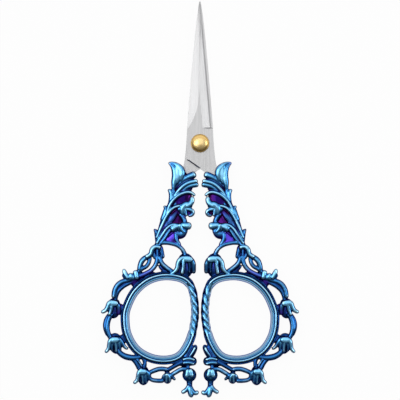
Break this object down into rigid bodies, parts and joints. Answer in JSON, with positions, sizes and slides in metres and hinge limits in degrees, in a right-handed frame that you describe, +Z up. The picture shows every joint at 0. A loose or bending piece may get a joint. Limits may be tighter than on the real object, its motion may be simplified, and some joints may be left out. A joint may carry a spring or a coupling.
{
  "type": "embroidery scissors",
  "caption": "Small needle-pointed embroidery scissors with ground steel blades, a domed brass pivot and ornate cast handles of bell flowers, leaves and round finger bows.",
  "frame": {"origin": "on the table under the middle of the closed scissors", "axes": "+Z up off the table, towards the viewer of the picture; +Y along the closed blades towards their tips; +X across, towards the handle of the front blade"},
  "size_m": [0.0612, 0.1246, 0.0053],
  "materials": {
    "ground_steel": "fine-ground stainless steel with satin hollow-ground faces",
    "blue_plating": "mirror-bright blue ion plating over a zinc alloy casting, turning violet in the recesses",
    "polished_brass": "polished brass"
  },
  "bodies": {
    "rear_half": {"rear_blade": "ground_steel", "left_handle": "blue_plating", "pivot_cap": "polished_brass", "pivot_screw": "polished_brass"},
    "front_half": {"front_blade": "ground_steel", "right_handle": "blue_plating"}
  },
  "joints": [
    {"name": "blade_pivot", "type": "hinge", "parent": "rear_half", "child": "front_half", "pos_m": [0, 0.01735, 0.0024], "axis": [0, 0, 1], "range_deg": [0, 90]}
  ]
}
